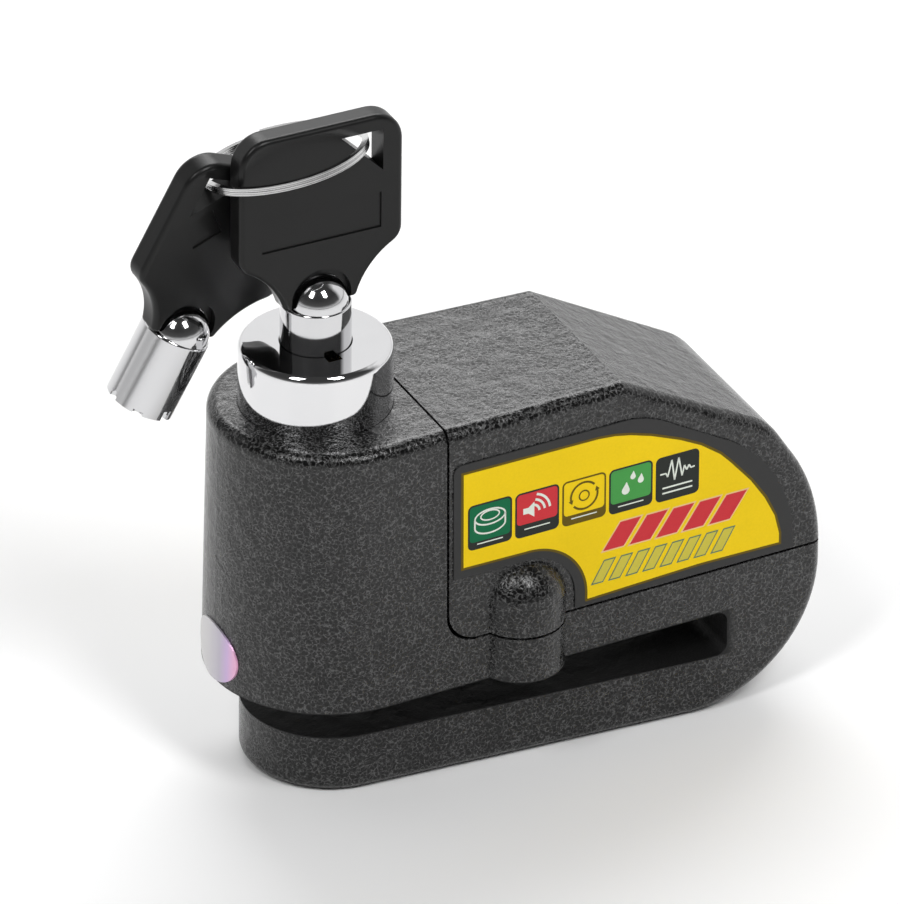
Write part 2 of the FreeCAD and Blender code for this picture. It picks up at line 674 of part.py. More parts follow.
# ---------------------------------------------------------------- alarm unit under the cover

def make_alarm_unit():
    front = (slab("case_front", "9.5", "case_floor", "19", "case_rim - case_floor"),
             slab("case_front + 1.2", "8.3", "case_floor + 1.2", "17.2", "20"))
    rear = (slab("case_front + 18.5", "13", "case_floor", "32.5", "case_rim - case_floor"),
            slab("case_front + 19.7", "11.8", "case_floor + 1.2", "30.1", "20"))
    mouth = cylinder("4.5", "5", "siren_x", 0, "case_floor - 1")
    node("alarm_case", cut(fuse(front[0], rear[0]), front[1], rear[1], mouth))
    horn = cylinder("8.2", "10", "siren_x", 0, "case_floor + 1.4")
    node("siren", cut(horn, cylinder("3", "4", "siren_x", 0, "case_floor + 1.3")))
    node("circuit_board", slab("case_front", "9.3", "case_rim", "46.5", "1.6"))
    board_top = "case_rim + 1.6"
    node("control_chip", slab("case_front + 23", "4.5", board_top, "9", "1.6"))
    node("siren_transformer", slab("case_front + 8", "4", board_top, "8", "7"))
    node("shock_sensor", cylinder("2.2", "6.5", "case_front + 37", 0, board_top))

    cells, beds, springs = [], [], []
    for row in ("-cell_radius - 0.02", "cell_radius + 0.02"):
        beds.append(cylinder("cell_radius + 0.05", "40", "cell_start - 5", row, "cell_z", TO_REAR))
        for index in range(3):
            start = f"cell_start + {index} * cell_length"
            cells.append(cylinder("cell_radius", "cell_length", start, row, "cell_z", TO_REAR))
    node("battery_cells", fuse(*cells))
    cradle = slab("cell_start", "11.7", "case_floor + 1.2", "3 * cell_length", "4")
    node("battery_holder", cut(cradle, *beds))
    node("battery_contact_plate", slab("cell_start - 0.6", "10", "cell_z - 4.5", "0.6", "9"))
    spring_end = "cell_start + 3 * cell_length + 3.6"
    for row in (-1, 1):
        spring = coil("3", "0.3", "cell_start + 3 * cell_length", "3.6", 3, facing=TO_REAR)
        bind(spring, {"Placement.Base.y": f"{row} * (cell_radius + 0.02)", "Placement.Base.z": "cell_z"})
        springs.append(spring)
    node("battery_springs", fuse(*springs))
    node("battery_spring_plate", slab(spring_end, "10", "cell_z - 4.5", "0.6", "9"))


# ---------------------------------------------------------------- plunger and lock cylinder

def make_plunger():
    cap_under = "plunger_top - cap_thickness"
    shell = turned("plunger_turning", (
        ("keyhole_radius", cap_under), ("shell_bore", cap_under), ("shell_bore", "plunger_foot"),
        ("plunger_radius", "plunger_foot"), ("plunger_radius", "plunger_top - 1.25", "cap_round"),
        ("plunger_radius - 0.75", "plunger_top"),
        ("keyhole_radius", "plunger_top")))
    notch = block("-notch_half", "-notch_reach", f"{cap_under} - 1", "2 * notch_half",
                  "notch_reach - 4", "4")
    window = sector("plunger_radius + 1", "cam_thickness + 0.4", "cam_bottom - 0.2")
    groove = block("plunger_radius - 1.5", "-1.5", "stop_screw_z - 1.3", "3", "3",
                   "plunger_travel + 2.7")
    pins = carrier_pin_set("carrier_pin_radius")
    node("plunger_shell", cut(shell, notch, window, groove, *pins))


def carrier_pin_set(radius):
    return [cylinder(radius, "4.2", 0, "7.5", "carrier_pin_z", TO_FAR_SIDE),
            cylinder(radius, "4.2", 0, "-7.5", "carrier_pin_z", TO_NEAR_SIDE)]


def make_lock_housing():
    housing = turned("housing_turning", (
        ("plug_bore", "block_bottom"), ("shell_bore - 0.05", "block_bottom"),
        ("shell_bore - 0.05", "plunger_top - cap_thickness"),
        ("keyhole_radius", "plunger_top - cap_thickness"), ("keyhole_radius", "plug_top + 2.4"),
        ("notch_reach", "plug_top + 2.4"), ("notch_reach", "plug_top + 0.1"),
        ("plug_bore", "plug_top + 0.1")))
    keyway = block("-notch_half", "-notch_reach", "plug_top + 1", "2 * notch_half",
                   "notch_reach - 4", "6")
    node("lock_housing", cut(housing, keyway, block_pin("0.8")))


def block_pin(radius):
    return cylinder(radius, "3.6", "6", 0, "block_bottom + 4.5", TO_REAR)


def make_driver_block():
    ring = cut(cylinder("plug_bore - 0.02", "shear_plane - block_bottom", z="block_bottom"),
               cylinder("spindle_radius + 0.07", "20", z="block_bottom - 5"))
    holes = ring_of("tumbler_count", "tumbler_pitch",
                    lambda x, y: cylinder("tumbler_hole", "12", x, y, "block_bottom + 1.5"))
    node("driver_block", cut(ring, block_pin("0.8"), *holes))
    node("driver_block_pin", block_pin("0.8"))
    node("driver_pins", fuse(*ring_of(
        "tumbler_count", "tumbler_pitch",
        lambda x, y: cylinder("tumbler_radius", "3.3", x, y, "shear_plane - 3.35"))))
    node("driver_springs", fuse(*ring_of(
        "tumbler_count", "tumbler_pitch",
        lambda x, y: coil("0.38", "0.12", "block_bottom + 1.5", "shear_plane - 3.35 - block_bottom - 1.5",
                          4, x, y))))


def make_key_plug():
    plug = turned("plug_turning", (
        ("0", "shear_plane + 3"), ("spindle_radius", "shear_plane + 3"),
        ("spindle_radius", "shear_plane + 0.05"), ("plug_radius", "shear_plane + 0.05"),
        ("plug_radius", "plug_top"), ("post_radius", "plug_top"),
        ("post_radius", "plunger_top - 1.3"), ("post_radius - 0.5", "plunger_top - 0.8"),
        ("0", "plunger_top - 0.8")))
    holes = ring_of("tumbler_count", "tumbler_pitch",
                    lambda x, y: cylinder("tumbler_hole", "12", x, y, "shear_plane - 1"))
    node("key_plug", cut(plug, *holes))
    node("key_pins", fuse(*ring_of(
        "tumbler_count", "tumbler_pitch",
        lambda x, y: cylinder("tumbler_radius", "plug_top - shear_plane - 0.4", x, y,
                              "shear_plane + 0.1"))))
    square = "1.8"
    drive = common(cylinder("spindle_radius", "cam_thickness", z="cam_bottom"),
                   slab(f"-{square}", square, "cam_bottom", f"2 * {square}", "cam_thickness"))
    shaft = cylinder("spindle_radius", "shear_plane + 3 - cam_bottom - cam_thickness",
                     z="cam_bottom + cam_thickness")
    node("lock_spindle", cut(fuse(drive, shaft), cylinder("1.2", "7", z="cam_bottom - 1")))
    lobe = common(cylinder("cam_reach", "cam_thickness", z="cam_bottom"),
                  block("-cam_half", 0, "cam_bottom", "2 * cam_half", "20", "cam_thickness"))
    plate = fuse(cylinder("cam_radius", "cam_thickness", z="cam_bottom"), lobe)
    node("bayonet_cam", cut(plate, slab(f"-{square}", square, "cam_bottom - 1", f"2 * {square}", "5")))
    screw = fuse(cylinder("3.2", "1.3", z="cam_bottom - 1.3"),
                 cylinder("1.2", "5.5", z="cam_bottom - 0.1"))
    node("cam_screw", cut(screw, socket("1", "0.8", 0, 0, "cam_bottom - 1.3")))


def make_pin_carrier():
    carrier = turned("carrier_turning", (
        ("2", "carrier_seat"), ("6.6", "carrier_seat"), ("6.6", "plunger_foot"),
        ("shell_bore - 0.05", "plunger_foot"), ("shell_bore - 0.05", "carrier_seat + 1.5"),
        ("2", "carrier_seat + 1.5")))
    node("pin_carrier", cut(carrier, *carrier_pin_set("carrier_pin_radius")))
    node("carrier_pins", fuse(*carrier_pin_set("carrier_pin_radius")))
    node("locking_pin", turned("pin_turning", (
        ("0", "pin_tip"), ("pin_radius - 0.8", "pin_tip"), ("pin_radius", "pin_tip + 0.8"),
        ("pin_radius", "carrier_seat"), ("2", "carrier_seat"), ("2", "carrier_seat + 1.5"),
        ("0", "carrier_seat + 1.5"))))
    node("return_spring", coil("5.2", "0.5", "bore_floor", "carrier_seat - bore_floor", 6))


# ---------------------------------------------------------------- keys and ring

def key_shank():
    """The metal tube of a key, with its shoulder at Z = 0 and its open end below."""
    length = "(shoulder_height + key_insertion)"
    tube = cut(cylinder("key_radius", length, z=f"-{length}"),
               cylinder("key_bore", f"{length} - 1.5", z=f"-{length}"))
    rim = soften_primitive(tube, 0.35, lambda edge: level(edge, "z", 0))
    guide = block("-0.95", "-6.5", f"0.2 - {length}", "1.9", "1.7", "1.7")
    cuts = []
    for index, depth in enumerate((1.2, 0.6, 1.6, 0.9, 1.4, 0.6, 1.1)):
        angle = math.degrees(2 * math.pi * index / number("tumbler_count"))
        cuts.append(cylinder("0.8", f"{depth} + 1", f"(key_radius - 0.2) * cos({angle:.3f} deg)",
                             f"(key_radius - 0.2) * sin({angle:.3f} deg)", f"-{length} - 1"))
    return fuse(cut(rim, *cuts), *domes("0"), tang(), guide)


def domes(gap):
    """The two bright domes on a key's shoulder, grown by a gap."""
    made = []
    for side in ("-dome_shift", "dome_shift"):
        dome = doc.addObject("Part::Ellipsoid", "dome")
        bind(dome, {"Radius1": f"dome_height + {gap}", "Radius2": f"dome_radius + {gap}",
                    "Radius3": f"dome_radius + {gap}", "Angle1": "0"})
        made.append(place(dome, 0, side, 0))
    return made


def tang():
    """The flat bar that is moulded into the head."""
    return slab("-2.8", "0.8", "0", "5.6", "15")


def soften_primitive(item, radius, wanted):
    """Fillet edges of a Part object."""
    doc.recompute()
    made = doc.addObject("Part::Fillet", "softened")
    made.Base = item
    made.Edges = [(index, radius, radius) for index, edge in enumerate(item.Shape.Edges, start=1)
                  if wanted(edge)]
    return made


def key_head():
    """The moulded head of a key, in the same frame as its shank, with an empty panel on its face."""
    owner = new_body("head_moulding")
    foot = "0.05"
    plate = outline(sketch(owner, "XZ_Plane"), (
        ("foot_half", foot, "-flank_round"), ("head_half", "8.6"), ("head_half", "head_height"),
        ("-head_half", "head_height"), ("-head_half", "8.6", "-flank_round"), ("-foot_half", foot)))
    pad(owner, plate, "head_thickness", both_ways=True)

    def upright(x, z):
        return lambda edge: level(edge, "x", number(x)) and level(edge, "z", number(z))

    for x in ("-head_half", "head_half"):
        soften(owner, "4.8", upright(x, "head_height"))
        soften(owner, "3", upright(x, "8.6"))
    for x in ("-foot_half", "foot_half"):
        soften(owner, "0.8", upright(x, foot))
    eye = outline(sketch(owner, "XZ_Plane"), (
        ("eye_x - eye_corner", "eye_z + eye_side"), ("eye_x + eye_side", "eye_z + eye_side"),
        ("eye_x + eye_side", "eye_z - eye_corner")))
    half = number("head_thickness") / 2
    soften(owner, "head_bevel", lambda edge: level(edge, "y", math.copysign(half, spans(edge, "y")[0]))
           and spans(edge, "z")[1] > 0.5)
    pocket(owner, eye, "20", both_ways=True)
    panel = block("-9.8", "-head_thickness / 2", "11", "19.6", "0.3", "6")
    lozenge = doc.addObject("Part::Prism", "lozenge")
    lozenge.Polygon = 4
    bind(lozenge, {"Circumradius": "3.5", "Height": "1"})
    place(lozenge, "6.4", "head_thickness / 2 - 0.3", "18.7", TO_FAR_SIDE)
    windows = [
        fuse(cylinder("arch_half", "4", 0, start, "1.2", facing),
             block("-arch_half", corner, "-1", "2 * arch_half", "4", "2.2"))
        for start, corner, facing in (("-web_half", "-web_half - 4", TO_NEAR_SIDE),
                                      ("web_half", "web_half", TO_FAR_SIDE))]
    return cut(owner, tang(), panel, lozenge, *windows, *domes("0.05"))


def make_key(prefix, pose):
    """Both pieces of a key, placed with its shoulder at the pose."""
    for label, item in ((f"{prefix}_shank", key_shank()), (f"{prefix}_head", key_head())):
        item.Placement = pose
        node(label, item)


def ring_pose():
    """The ring's placement: it passes through the middle of the key's hole."""
    rise, fall = (math.tan(math.radians(number(text))) for text in ("ring_rise", "ring_fall"))
    normal = Vector(-rise, fall, 1).normalize()
    heading = math.radians(number("ring_heading"))
    flat = Vector(math.cos(heading), math.sin(heading), 0)
    outward = (flat - normal * flat.dot(normal)).normalize()
    facing = Rotation(outward, normal.cross(outward), normal, "XYZ")
    eye = Vector(number("eye_x"), 0, number("plunger_top + shoulder_height + eye_z"))
    return Placement(eye - outward * number("ring_radius"), facing)


def make_split_ring():
    turns = 2
    spine = doc.addObject("Part::Helix", "ring_line")
    bind(spine, {"Radius": "ring_radius", "Pitch": "ring_pitch", "Height": f"{turns} * ring_pitch"})
    strip = doc.addObject("Part::Plane", "ring_strip")
    bind(strip, {"Length": "ring_wide", "Width": "ring_thick"})
    place(strip, "ring_radius - ring_wide / 2", 0, "-ring_thick / 2", TO_NEAR_SIDE)
    swept = doc.addObject("Part::Sweep", "ring_coil")
    swept.Sections = [strip]
    swept.Spine = (spine, [])
    swept.Solid = True
    swept.Frenet = True
    pose = ring_pose()
    middle = Placement(Vector(0, 0, -number("ring_pitch")), Rotation(Vector(0, 0, 1), 100))
    swept.Placement = pose.multiply(middle)
    node("split_ring", swept)


def spare_pose():
    """The spare key's placement: its hole hangs on the ring, and it is turned back to front."""
    ring = ring_pose()
    angle = math.radians(number("spare_heading"))
    radius = number("ring_radius")
    hang = ring.multVec(Vector(radius * math.cos(angle), radius * math.sin(angle), 0))
    lean = Rotation(Vector(0, 1, 0), number("spare_lean"))
    tip = Rotation(Vector(1, 0, 0), number("spare_tip"))
    turn = Rotation(Vector(0, 0, 1), 180 + number("spare_yaw"))
    facing = tip.multiply(lean).multiply(turn)
    eye = facing.multVec(Vector(number("eye_x"), 0, number("eye_z")))
    return Placement(hang - eye, facing)


# ---------------------------------------------------------------- build, check and write

def check(item):
    """Stop if an object failed or if its shape is empty or broken."""
    if "Invalid" in item.State or "Error" in item.State:
        raise RuntimeError(f"{item.Label} failed: {item.State}")


make_main_body()
make_cover()
make_gasket()
make_cover_screws()
make_front_badge()
make_side_labels()
make_arming_switch()
make_pin_guides()
make_plunger_stop_screw()
make_wiper_seal()
make_alarm_unit()
make_plunger()
make_lock_housing()
make_driver_block()
make_key_plug()
make_pin_carrier()
make_key("key", Placement(Vector(0, 0, number("plunger_top + shoulder_height")), UP))
make_split_ring()
make_key("spare_key", spare_pose())
doc.recompute()

for item in doc.Objects:
    check(item)
os.makedirs("parts", exist_ok=True)
for label, item in nodes.items():
    shape = item.Shape
    if shape.isNull() or not shape.isValid() or not shape.Solids:
        raise RuntimeError(f"{label} has no valid solid")
    shape.exportStep(f"parts/{label}.step")
print(len(nodes), "sub-parts written")
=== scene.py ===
"""The looks of a disc brake lock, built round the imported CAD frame.

Metres, in the row frame: +Z up, origin under the plunger, +X from the nose to the rear. The artwork of
the side labels is drawn in millimetres, X along and Z up.
"""

import json
import math

import bmesh
import bpy
from mathutils import Matrix, Vector


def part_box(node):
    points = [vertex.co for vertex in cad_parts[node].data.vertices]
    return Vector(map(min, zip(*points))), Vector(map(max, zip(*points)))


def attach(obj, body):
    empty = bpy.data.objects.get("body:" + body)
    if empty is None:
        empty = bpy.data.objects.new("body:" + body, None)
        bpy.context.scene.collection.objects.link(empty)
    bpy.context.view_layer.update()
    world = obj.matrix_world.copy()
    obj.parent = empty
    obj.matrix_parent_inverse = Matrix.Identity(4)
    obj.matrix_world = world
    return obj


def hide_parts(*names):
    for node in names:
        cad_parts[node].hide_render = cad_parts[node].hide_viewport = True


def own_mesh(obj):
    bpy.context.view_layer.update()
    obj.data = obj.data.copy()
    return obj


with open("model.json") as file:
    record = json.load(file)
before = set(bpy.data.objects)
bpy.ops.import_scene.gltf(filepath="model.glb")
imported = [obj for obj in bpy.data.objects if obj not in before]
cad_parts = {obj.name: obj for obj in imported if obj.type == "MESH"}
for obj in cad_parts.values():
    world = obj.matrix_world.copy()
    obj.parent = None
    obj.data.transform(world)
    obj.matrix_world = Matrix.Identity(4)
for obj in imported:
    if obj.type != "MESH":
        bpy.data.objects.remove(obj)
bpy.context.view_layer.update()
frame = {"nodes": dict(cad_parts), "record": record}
NODES = frame["nodes"]
MM = 0.001


def put(name, data):
    """A new object in the scene."""
    item = bpy.data.objects.new(name, data)
    bpy.context.scene.collection.objects.link(item)
    return item


# ---------------------------------------------------------------- shader nodes

SOCKETS = {
    "base": "Base Color", "rough": "Roughness", "metal": "Metallic", "coat": "Coat Weight",
    "coat_rough": "Coat Roughness", "specular": "Specular IOR Level",
}
MIX_FIRST, MIX_SECOND, MIX_RESULT = 6, 7, 2  # the colour sockets of a Mix node


def grey(value):
    return (value, value, value)


def scaled(tint, factor):
    """A colour made darker or paler."""
    return tuple(min(1, v * factor) for v in tint)


class Wiring:
    """Nodes of one node tree and the links between them."""

    def __init__(self, tree):
        self.tree = tree

    def add(self, kind, **props):
        node = self.tree.nodes.new(kind)
        for key, value in props.items():
            setattr(node, key, value)
        return node

    def link(self, source, target):
        self.tree.links.new(source, target)

    def fill(self, socket, value):
        """Set a socket to a number, or link it to another socket."""
        if isinstance(value, bpy.types.NodeSocket):
            self.link(value, socket)
        else:
            socket.default_value = value

    def part(self, vector, axis):
        """One of a vector's coordinates, by its letter."""
        node = self.add("ShaderNodeSeparateXYZ")
        self.link(vector, node.inputs[0])
        return node.outputs[axis]

    def dot(self, vector, direction):
        """How far a vector reaches along a direction."""
        node = self.add("ShaderNodeVectorMath", operation="DOT_PRODUCT")
        self.link(vector, node.inputs[0])
        node.inputs[1].default_value = direction
        return node.outputs["Value"]

    def calc(self, operation, first, second=0.0):
        node = self.add("ShaderNodeMath", operation=operation)
        self.fill(node.inputs[0], first)
        self.fill(node.inputs[1], second)
        return node.outputs[0]

    def spread(self, source, low, high):
        """Map 0..1 to low..high."""
        node = self.add("ShaderNodeMapRange")
        self.link(source, node.inputs["Value"])
        node.inputs["To Min"].default_value = low
        node.inputs["To Max"].default_value = high
        return node.outputs["Result"]

    def window(self, source, start, end):
        """0 at start, 1 at end, and even beyond them."""
        node = self.add("ShaderNodeMapRange")
        self.link(source, node.inputs["Value"])
        node.inputs["From Min"].default_value = start
        node.inputs["From Max"].default_value = end
        return node.outputs["Result"]

    def ramp(self, source, stops):
        """A colour by value, from (value, colour) stops."""
        node = self.add("ShaderNodeValToRGB")
        elements = node.color_ramp.elements
        while len(elements) < len(stops):
            elements.new(1.0)
        for element, (position, colour) in zip(elements, stops):
            element.position = position
            element.color = (*colour, 1)
        self.link(source, node.inputs["Fac"])
        return node.outputs["Color"]

    def mix(self, factor, first, second):
        """The first colour at factor 0 and the second at 1."""
        node = self.add("ShaderNodeMix", data_type="RGBA")
        self.fill(node.inputs["Factor"], factor)
        for index, value in ((MIX_FIRST, first), (MIX_SECOND, second)):
            is_socket = isinstance(value, bpy.types.NodeSocket)
            self.fill(node.inputs[index], value if is_socket else (*value, 1))
        return node.outputs[MIX_RESULT]


class Shade(Wiring):
    """A procedural material on one Principled shader, laid out in the object's own coordinates.

    A pattern's scale is its number of repeats in a metre.
    """

    def __init__(self, name, **values):
        self.material = bpy.data.materials.new(name)
        self.material.use_nodes = True
        super().__init__(self.material.node_tree)
        self.shader = self.tree.nodes["Principled BSDF"]
        for key, value in values.items():
            self.shader.inputs[SOCKETS[key]].default_value = value
        self.place = self.add("ShaderNodeTexCoord").outputs["Object"]
        self.normal = None

    def stretch(self, x=1, y=1, z=1):
        """The object's coordinates, scaled along each axis."""
        node = self.add("ShaderNodeMapping")
        node.inputs["Scale"].default_value = (x, y, z)
        self.link(self.place, node.inputs["Vector"])
        return node.outputs["Vector"]

    def warped(self, scale, reach):
        """The object's coordinates, pushed about by noise."""
        swirl = self.add("ShaderNodeTexNoise")
        swirl.inputs["Scale"].default_value = scale
        self.link(self.place, swirl.inputs["Vector"])
        node = self.add("ShaderNodeVectorMath", operation="MULTIPLY_ADD")
        self.link(swirl.outputs["Color"], node.inputs[0])
        node.inputs[1].default_value = (reach, reach, reach)
        self.link(self.place, node.inputs[2])
        return node.outputs[0]

    def noise(self, scale, detail=3, gain=0.5, distortion=0, where=None):
        node = self.add("ShaderNodeTexNoise")
        node.inputs["Scale"].default_value = scale
        node.inputs["Detail"].default_value = detail
        node.inputs["Roughness"].default_value = gain
        node.inputs["Distortion"].default_value = distortion
        self.link(where or self.place, node.inputs["Vector"])
        return node.outputs["Fac"]

    def cells(self, scale, feature="F1", where=None):
        node = self.add("ShaderNodeTexVoronoi", feature=feature)
        node.inputs["Scale"].default_value = scale
        self.link(where or self.place, node.inputs["Vector"])
        return node.outputs["Distance"]

    def waves(self, scale, direction, distortion, detail=2):
        node = self.add("ShaderNodeTexWave", bands_direction=direction)
        node.inputs["Scale"].default_value = scale
        node.inputs["Distortion"].default_value = distortion
        node.inputs["Detail"].default_value = detail
        self.link(self.place, node.inputs["Vector"])
        return node.outputs["Fac"]

    def set(self, key, source):
        self.link(source, self.shader.inputs[SOCKETS[key]])

    def bump(self, height, strength, depth):
        """Raise the surface by a height map, depth in millimetres, on top of earlier bumps."""
        node = self.add("ShaderNodeBump")
        node.inputs["Strength"].default_value = strength
        node.inputs["Distance"].default_value = depth * MM
        self.link(height, node.inputs["Height"])
        if self.normal:
            self.link(self.normal, node.inputs["Normal"])
        self.normal = node.outputs["Normal"]
        self.link(self.normal, self.shader.inputs["Normal"])
        if self.shader.inputs["Coat Weight"].default_value > 0:
            self.link(self.normal, self.shader.inputs["Coat Normal"])


# ---------------------------------------------------------------- materials

RING_RISE, RING_FALL = math.radians(7.5), math.radians(14)  # the ring climbs to +X and falls to +Y
RING_NORMAL = Vector((-math.tan(RING_RISE), math.tan(RING_FALL), 1)).normalized()


def slot_shade_mask(s):
    """1 on the walls of the disc slot, where the paint is made near black as painted shade and made
    duller, and 0 elsewhere.

    The walls stand 0.2 mm above and below the opening's box and 1.9 mm behind it.
    """
    low, high = next(gap["box_m"] for gap in frame["record"]["physics"]["openings"]
                     if gap["name"] == "disc_slot")
    height, along = s.part(s.place, "Z"), s.part(s.place, "X")
    above = s.window(height, low[2] - 0.5 * MM, low[2] - 0.3 * MM)
    below = s.window(height, high[2] + 0.5 * MM, high[2] + 0.3 * MM)
    ahead = s.window(along, high[0] + 3.5 * MM, high[0] + 2.1 * MM)
    return s.calc("MULTIPLY", s.calc("MULTIPLY", above, below), ahead)


def cast_paint():
    """Hammered black paint: glossy and wrinkled, with a broken net of paler flake round dark pits."""
    s = Shade("hammer_paint", specular=0.42)
    walls = s.cells(1400, "DISTANCE_TO_EDGE", s.warped(1200, 0.9 * MM))
    fleck = s.noise(1900, detail=4, gain=0.66, distortion=0.4)
    cloud = s.noise(260, gain=0.6)
    net = s.calc("MULTIPLY", s.window(walls, 0.24, 0.02), s.window(fleck, 0.30, 0.58))
    level = s.calc("ADD", s.calc("MULTIPLY", net, 0.62), s.spread(fleck, -0.12, 0.40))
    tone = s.ramp(s.calc("ADD", level, s.spread(cloud, -0.12, 0.12)), (
        (0.05, grey(0.0015)), (0.24, grey(0.007)), (0.48, grey(0.025)), (0.82, grey(0.088))))
    slot_shade = slot_shade_mask(s)
    # painted shade: on the disc slot's walls the base colour is pushed to near black; the added roughness
    # there makes them duller
    s.set("base", s.mix(slot_shade, tone, grey(0.0016)))
    s.set("rough", s.calc("ADD", s.spread(fleck, 0.11, 0.28), s.calc("MULTIPLY", slot_shade, 0.42)))
    s.bump(s.noise(330, detail=2, distortion=0.3), 0.55, 0.45)
    s.bump(s.noise(800, detail=2, distortion=0.3), 0.35, 0.18)
    s.bump(net, 0.40, 0.06)
    return s.material


def chrome(name, tint, rough):
    """Bright plating with faint turning lines and uneven polish."""
    s = Shade(name, metal=1.0)
    turning = s.noise(260, detail=4, gain=0.6, where=s.stretch(z=90))
    smudge = s.noise(110, detail=4, gain=0.6, distortion=0.4)
    s.set("base", s.mix(smudge, scaled(tint, 0.94), tint))
    s.set("rough", s.calc("ADD", s.spread(smudge, *rough), s.spread(turning, 0.0, 0.02)))
    s.bump(turning, 0.05, 0.02)
    return s.material


def wire_nickel():
    """The split ring's plating, with stripes that run round the ring: their dark bands are painted shade
    between wire strands that the mesh doesn't have.
    """
    s = Shade("ring_nickel", metal=1.0)
    radians_per_metre = 21000
    phase = s.calc("MULTIPLY", s.dot(s.place, RING_NORMAL), radians_per_metre)
    lines = s.spread(s.calc("SINE", phase), 0.5, 1.0)
    wear = s.noise(420, detail=4, gain=0.6)
    # painted shade: the stripes swing the base from near black to bright, the dark bands standing for the
    # shade between strands
    s.set("base", s.mix(s.calc("MULTIPLY", lines, s.spread(wear, 0.7, 1.3)), grey(0.08), grey(0.78)))
    s.set("rough", s.spread(wear, 0.07, 0.20))
    s.bump(lines, 0.5, 0.08)
    return s.material


def steel(name, tint, rough, scale=900, squash=(1, 1, 14)):
    """Ground or drawn steel, its grain squashed along an axis."""
    s = Shade(name, metal=1.0)
    grind = s.noise(scale, detail=4, gain=0.65, where=s.stretch(*squash))
    stain = s.noise(180, gain=0.6)
    s.set("base", s.mix(stain, scaled(tint, 0.72), tint))
    s.set("rough", s.spread(grind, rough - 0.10, rough + 0.12))
    s.bump(grind, 0.18, 0.03)
    return s.material


def plastic(name, tint, rough, grain=1900, relief=0.25, specular=0.5):
    """Moulded plastic with a fine spark-eroded grain."""
    s = Shade(name, specular=specular)
    texture = s.noise(grain, detail=4, gain=0.6)
    flow = s.noise(90, distortion=0.6)
    s.set("base", s.mix(flow, scaled(tint, 0.78), scaled(tint, 1.18)))
    sheen = s.spread(texture, rough - 0.08, rough + 0.05)
    s.set("rough", s.calc("ADD", sheen, s.spread(flow, -0.04, 0.04)))
    s.bump(texture, relief, 0.03)
    return s.material


def print_ink(name, tint, specular=0.12):
    """Screen-printed ink on satin film: a faint dot screen and slight unevenness."""
    s = Shade(name, specular=specular)
    screen = s.cells(2600)
    wash = s.noise(70, detail=4, gain=0.6)
    body = s.mix(wash, scaled(tint, 0.90), scaled(tint, 1.05))
    s.set("base", s.mix(s.spread(screen, 0.0, 0.16), body, scaled(tint, 0.7)))
    s.set("rough", s.spread(wash, 0.38, 0.52))
    s.bump(s.noise(420), 0.05, 0.04)
    return s.material


def badge_film():
    """Metallised film that turns from pink through violet to grey across the nose."""
    s = Shade("badge_film", metal=0.35, coat=0.5, coat_rough=0.08)
    across = s.window(s.part(s.place, "Y"), -7 * MM, 7 * MM)
    colour = s.ramp(across, (
        (0.00, (0.84, 0.34, 0.56)), (0.10, (0.78, 0.38, 0.62)), (0.20, (0.55, 0.36, 0.66)),
        (0.34, (0.42, 0.38, 0.47)), (0.60, (0.50, 0.48, 0.50)), (1.00, (0.60, 0.59, 0.58))))
    lines = s.noise(600, gain=0.6, where=s.stretch(z=0.08))
    s.set("base", s.mix(s.spread(lines, 0.0, 0.22), colour, grey(0.75)))
    s.set("rough", s.spread(lines, 0.22, 0.42))
    s.bump(lines, 0.08, 0.02)
    return s.material


def board_laminate():
    """Green solder mask over a pattern of tracks and pads."""
    s = Shade("board_mask", coat=0.4, coat_rough=0.1)
    tracks = s.waves(210, "DIAGONAL", distortion=9, detail=1)
    pads = s.cells(330)
    mask = s.ramp(tracks, ((0.44, (0.010, 0.095, 0.035)), (0.56, (0.020, 0.20, 0.075))))
    s.set("base", s.mix(s.window(pads, 0.16, 0.12), mask, (0.62, 0.60, 0.55)))
    s.set("rough", s.spread(s.noise(500), 0.25, 0.45))
    s.bump(tracks, 0.25, 0.04)
    return s.material


def winding():
    """Close turns of enamelled wire."""
    s = Shade("coil_winding", coat=0.3, coat_rough=0.15)
    turns = s.waves(1500, "Z", distortion=0.4)
    s.set("base", s.ramp(turns, ((0.1, (0.12, 0.035, 0.008)), (0.7, (0.55, 0.23, 0.06)))))
    s.set("rough", s.spread(turns, 0.3, 0.5))
    s.bump(turns, 0.5, 0.08)
    return s.material


def rubber():
    """Dusty black rubber."""
    s = Shade("seal_rubber", specular=0.35)
    dust = s.noise(1300, detail=5, gain=0.65)
    s.set("base", s.ramp(dust, ((0.3, grey(0.010)), (0.7, grey(0.030)))))
    s.set("rough", s.spread(dust, 0.68, 0.88))
    s.bump(dust, 0.3, 0.04)
    return s.material


PAINT = cast_paint()
BRASS = steel("machined_brass", (0.72, 0.52, 0.22), 0.26)
HARD = steel("ground_steel", (0.50, 0.51, 0.53), 0.24)
OXIDE = steel("black_oxide", (0.10, 0.10, 0.11), 0.42)
SPRING = steel("drawn_wire", (0.66, 0.67, 0.69), 0.25, 1500, (1, 1, 1))
CAN = steel("plated_can", (0.78, 0.78, 0.79), 0.22, 700, (12, 1, 1))
DIE = plastic("inner_moulding", grey(0.030), 0.5)
CHIP = plastic("moulded_epoxy", grey(0.018), 0.55, 2600)
HEAD = plastic("key_moulding", grey(0.0070), 0.34, 2100, 0.22, specular=0.26)
SHELL = chrome("plunger_chrome", (0.76, 0.76, 0.77), (0.012, 0.045))
NICKEL = chrome("key_nickel", (0.66, 0.66, 0.67), (0.03, 0.10))

